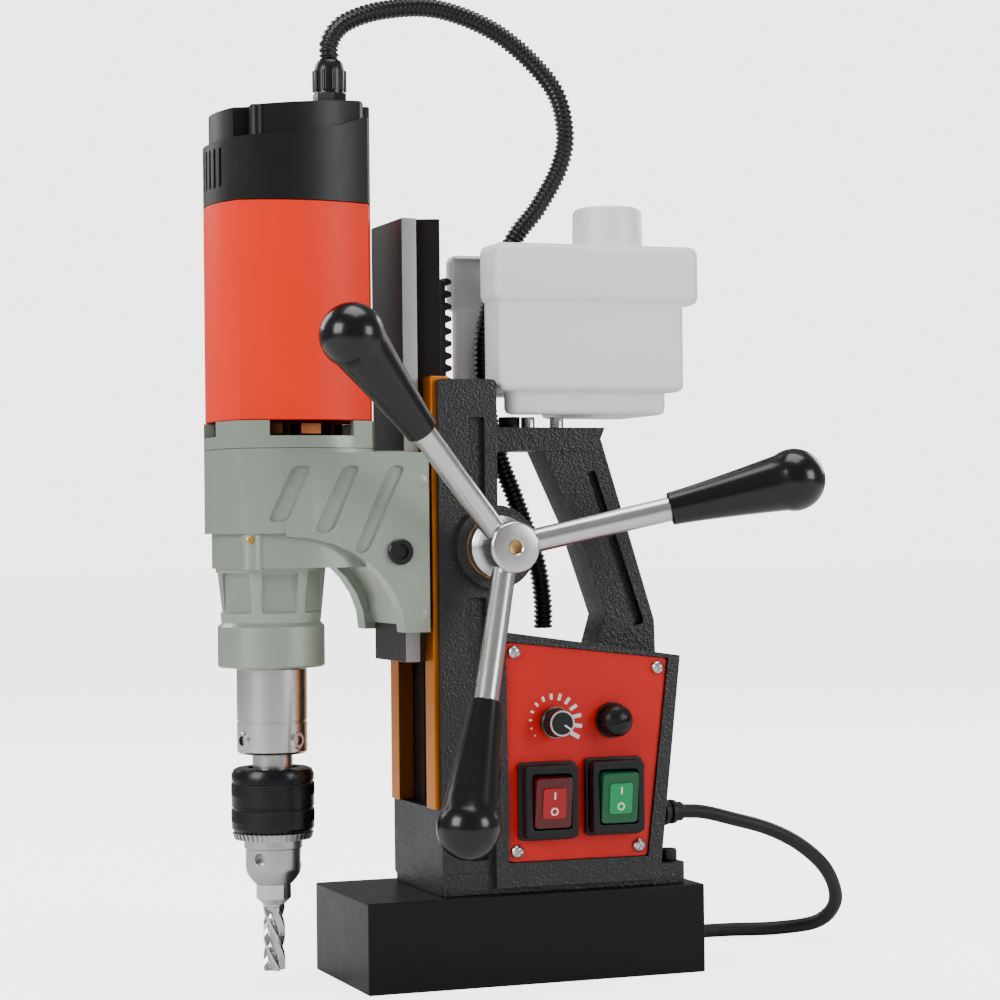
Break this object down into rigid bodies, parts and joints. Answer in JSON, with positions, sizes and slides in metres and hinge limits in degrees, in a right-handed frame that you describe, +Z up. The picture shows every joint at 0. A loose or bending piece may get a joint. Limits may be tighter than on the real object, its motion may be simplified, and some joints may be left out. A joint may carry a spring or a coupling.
{
  "type": "magnetic drill press",
  "caption": "Magnetic-base drill press with cast stand, control box, rack-fed motor carriage, keyed chuck and cutter, lever capstan, coolant bottle and mains lead.",
  "frame": {"origin": "centre of the magnet's lower face", "axes": "+Z up, -Y towards the drill, +X towards the control panel"},
  "size_m": [0.3641, 0.3598, 0.4988],
  "materials": {
    "black_paint": "semi-gloss black paint",
    "cast_paint": "orange-peel black enamel on cast metal",
    "epoxy": "potting resin over the winding",
    "gold_anodised": "gold anodised, satin",
    "bronze": "machined bronze",
    "red_paint": "red enamel on sheet steel",
    "zinc": "bright zinc plate",
    "board": "circuit board laminate",
    "black_plastic": "moulded black plastic",
    "red_plastic": "glossy red rocker cover",
    "green_plastic": "glossy green rocker cover",
    "white_plastic": "blow-moulded white plastic",
    "rubber": "black rubber",
    "polished_steel": "polished steel",
    "ground_steel": "ground steel",
    "dark_steel": "black oxide steel",
    "slide_paint": "dark anodised slide",
    "grey_paint": "silver-grey hammered enamel",
    "orange_plastic": "moulded orange-red plastic",
    "copper": "copper winding on laminated core"
  },
  "bodies": {
    "stand": {"magnet_base": "black_paint", "magnet_coil": "epoxy", "stand_casting": "cast_paint", "guide_rail_near": "gold_anodised", "guide_rail_far": "gold_anodised", "pinion_bush_near": "bronze", "pinion_bush_far": "bronze", "base_screw_near": "dark_steel", "base_screw_far": "dark_steel", "panel_screw_1": "zinc", "panel_screw_2": "zinc", "panel_screw_3": "zinc", "panel_screw_4": "zinc", "control_panel": "red_paint", "control_board": "board", "motor_switch_body": "black_plastic", "magnet_switch_body": "black_plastic", "speed_control": "zinc", "fuse_holder": "black_plastic", "cord_gland": "black_plastic", "power_cord": "rubber", "power_cord_coil": "rubber", "power_cord_tail": "rubber", "power_plug": "rubber", "coolant_tank": "white_plastic", "tank_stud_front": "polished_steel", "tank_stud_rear": "polished_steel", "tank_outlet": "rubber", "wiring_conduit": "rubber"},
    "motor_rocker": {"motor_switch_rocker": "red_plastic"},
    "magnet_rocker": {"magnet_switch_rocker": "green_plastic"},
    "speed_dial": {"speed_knob": "black_plastic"},
    "fuse_top": {"fuse_cap": "black_plastic"},
    "filler_cap": {"tank_cap": "white_plastic"},
    "capstan": {"pinion_shaft": "ground_steel", "lever_hub": "polished_steel", "lever_rod_1": "polished_steel", "lever_rod_2": "polished_steel", "lever_rod_3": "polished_steel", "lever_grip_1": "black_plastic", "lever_grip_2": "black_plastic", "lever_grip_3": "black_plastic"},
    "carriage": {"slide": "slide_paint", "rack": "ground_steel", "gear_housing": "grey_paint", "gear_cover": "grey_paint", "spindle_bearing_lower": "polished_steel", "spindle_bearing_upper": "polished_steel", "clamp_screw_near": "dark_steel", "clamp_screw_far": "dark_steel", "motor_housing": "orange_plastic", "field_core": "dark_steel", "motor_top_cap": "black_plastic", "conduit_gland": "black_plastic"},
    "armature": {"armature": "copper"},
    "countershaft": {"intermediate_gear": "ground_steel"},
    "spindle": {"spindle": "polished_steel", "chuck_body": "ground_steel", "cutter": "polished_steel"},
    "chuck_sleeve": {"chuck_sleeve": "dark_steel"}
  },
  "joints": [
    {"name": "feed_slide", "type": "slide", "parent": "stand", "child": "carriage", "axis": [0, 0, 1], "range_m": [-0.07, 0.05], "deforming": ["wiring_conduit"]},
    {"name": "capstan_turn", "type": "hinge", "parent": "stand", "child": "capstan", "pos_m": [0, -0.02, 0.218], "axis": [1, 0, 0], "range_deg": [-245, 340]},
    {"name": "spindle_spin", "type": "hinge", "parent": "carriage", "child": "spindle", "pos_m": [0, -0.125, 0.1167], "axis": [0, 0, 1], "continuous": true},
    {"name": "armature_spin", "type": "hinge", "parent": "carriage", "child": "armature", "pos_m": [0, -0.117, 0.33], "axis": [0, 0, 1], "continuous": true},
    {"name": "countershaft_spin", "type": "hinge", "parent": "carriage", "child": "countershaft", "pos_m": [0.01704, -0.121, 0.245], "axis": [0, 0, 1], "continuous": true},
    {"name": "chuck_sleeve_turn", "type": "hinge", "parent": "spindle", "child": "chuck_sleeve", "pos_m": [0, -0.125, 0.0743], "axis": [0, 0, 1], "range_deg": [0, 1080]},
    {"name": "speed_dial_turn", "type": "hinge", "parent": "stand", "child": "speed_dial", "pos_m": [0.0408, 0.0092, 0.13], "axis": [1, 0, 0], "range_deg": [-270, 0]},
    {"name": "fuse_cap_turn", "type": "hinge", "parent": "stand", "child": "fuse_top", "pos_m": [0.0408, 0.0412, 0.1299], "axis": [1, 0, 0], "range_deg": [0, 90]},
    {"name": "motor_rocker_press", "type": "hinge", "parent": "stand", "child": "motor_rocker", "pos_m": [0.048, 0.0052, 0.0908], "axis": [0, -1, 0], "range_deg": [0, 14]},
    {"name": "magnet_rocker_press", "type": "hinge", "parent": "stand", "child": "magnet_rocker", "pos_m": [0.048, 0.0411, 0.0918], "axis": [0, -1, 0], "range_deg": [0, 14]},
    {"name": "filler_cap_lift", "type": "slide", "parent": "stand", "child": "filler_cap", "axis": [0, 0, 1], "range_m": [0, 0.03]}
  ],
  "couplings": [
    {"joint": "capstan_turn", "follows": "feed_slide", "rad_per_m": -83.333},
    {"joint": "armature_spin", "follows": "spindle_spin", "ratio": 6.25},
    {"joint": "countershaft_spin", "follows": "spindle_spin", "ratio": -2.5}
  ]
}
